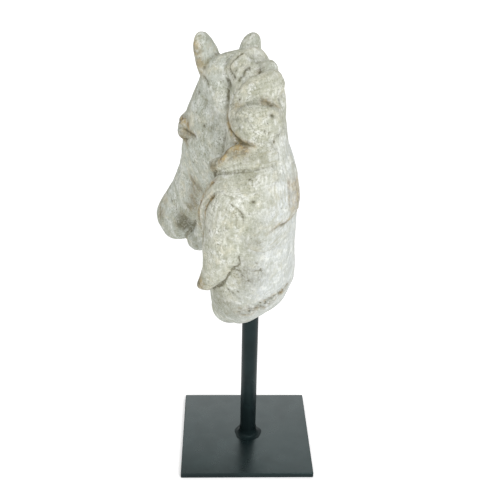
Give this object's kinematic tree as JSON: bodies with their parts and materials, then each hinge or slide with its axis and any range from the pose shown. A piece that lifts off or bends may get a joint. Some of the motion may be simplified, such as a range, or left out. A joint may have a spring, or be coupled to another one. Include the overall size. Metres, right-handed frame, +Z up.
{
  "type": "horse head sculpture on stand",
  "caption": "Carved driftwood-style horse head and neck with a curled mane, held upright on a round post over a square base plate.",
  "frame": {"origin": "middle of the base plate's underside", "axes": "+Z up along the post; +Y the way the neck's chest faces; +X the horse's right, with the head turned to its left"},
  "size_m": [0.1554, 0.1966, 0.4072],
  "materials": {
    "driftwood": "matte, whitewashed and weathered, brown where worn",
    "stand_coat": "satin dark coat"
  },
  "bodies": {
    "root": {"horse_head": "driftwood", "post": "stand_coat", "weld_bead": "stand_coat", "base_plate": "stand_coat"}
  },
  "joints": []
}
